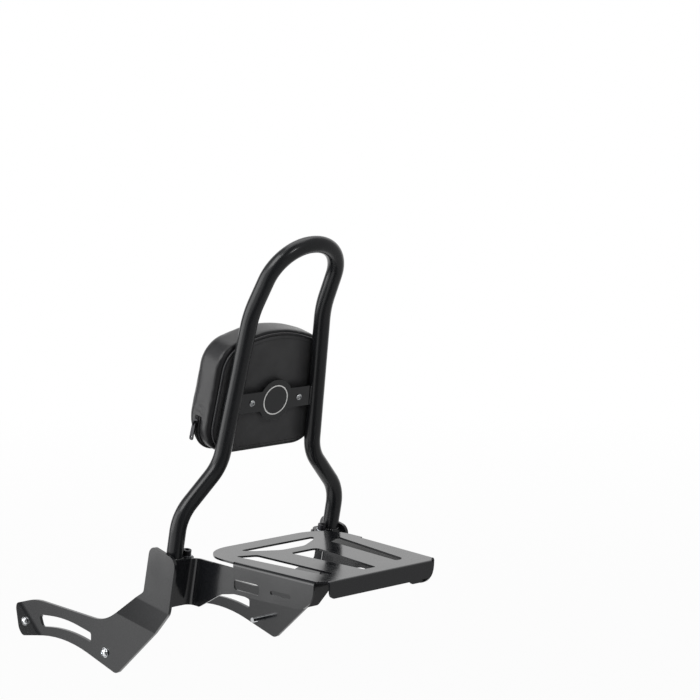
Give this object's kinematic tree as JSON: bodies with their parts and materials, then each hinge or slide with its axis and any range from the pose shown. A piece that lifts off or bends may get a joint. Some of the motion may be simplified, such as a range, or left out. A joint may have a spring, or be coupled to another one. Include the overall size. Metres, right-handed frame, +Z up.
{
  "type": "motorbike sissy bar",
  "caption": "Black tubular backrest hoop with a cushioned pad and a small slotted luggage rack, carried on bent side plates that bolt beside a motorbike's rear mudguard.",
  "frame": {"origin": "top face of the rack deck, on the centre line, in the middle of the bar between the front opening and the three long openings", "axes": "+X towards the bike's right, +Y forward, +Z up, square to the rack deck"},
  "size_m": [0.344, 0.7089, 0.6846],
  "materials": {
    "black_coat": "semi-gloss black powder coat",
    "chrome": "bright chrome plate",
    "zinc": "bright zinc plate",
    "black_zinc": "black zinc plate",
    "leather_cover": "black grained synthetic leather",
    "back_cloth": "smooth black synthetic leather",
    "piping": "black vinyl piping",
    "foam": "open-cell upholstery foam",
    "board": "raw birch plywood",
    "zip_tape": "black woven tape with a nylon coil",
    "zip_metal": "nickel-plated zinc casting"
  },
  "bodies": {
    "frame": {"hoop": "black_coat", "foot_plates": "black_coat", "foot_seats": "black_coat", "foot_bolts": "black_zinc", "foot_washers": "zinc", "foot_nuts": "zinc", "cross_plate": "black_coat", "side_plate_left": "black_coat", "side_plate_right": "black_coat", "mount_bolts": "chrome", "mount_washers": "chrome", "rack": "black_coat", "cross_brace": "black_coat", "pad_cover": "leather_cover", "pad_back_panel": "back_cloth", "pad_piping": "piping", "pad_foam": "foam", "pad_board": "board", "pad_inserts": "zinc", "pad_spacers": "zinc", "pad_bolts": "chrome", "zip_tape": "zip_tape", "zip_slider": "zip_metal"},
    "zip_pull": {"zip_pull": "zip_metal"}
  },
  "joints": [
    {"name": "zip_pull_swing", "type": "hinge", "parent": "frame", "child": "zip_pull", "pos_m": [-0.11583, 0.10266, 0.19104], "axis": [0, 0.9781, 0.2079], "range_deg": [0, 170]}
  ]
}
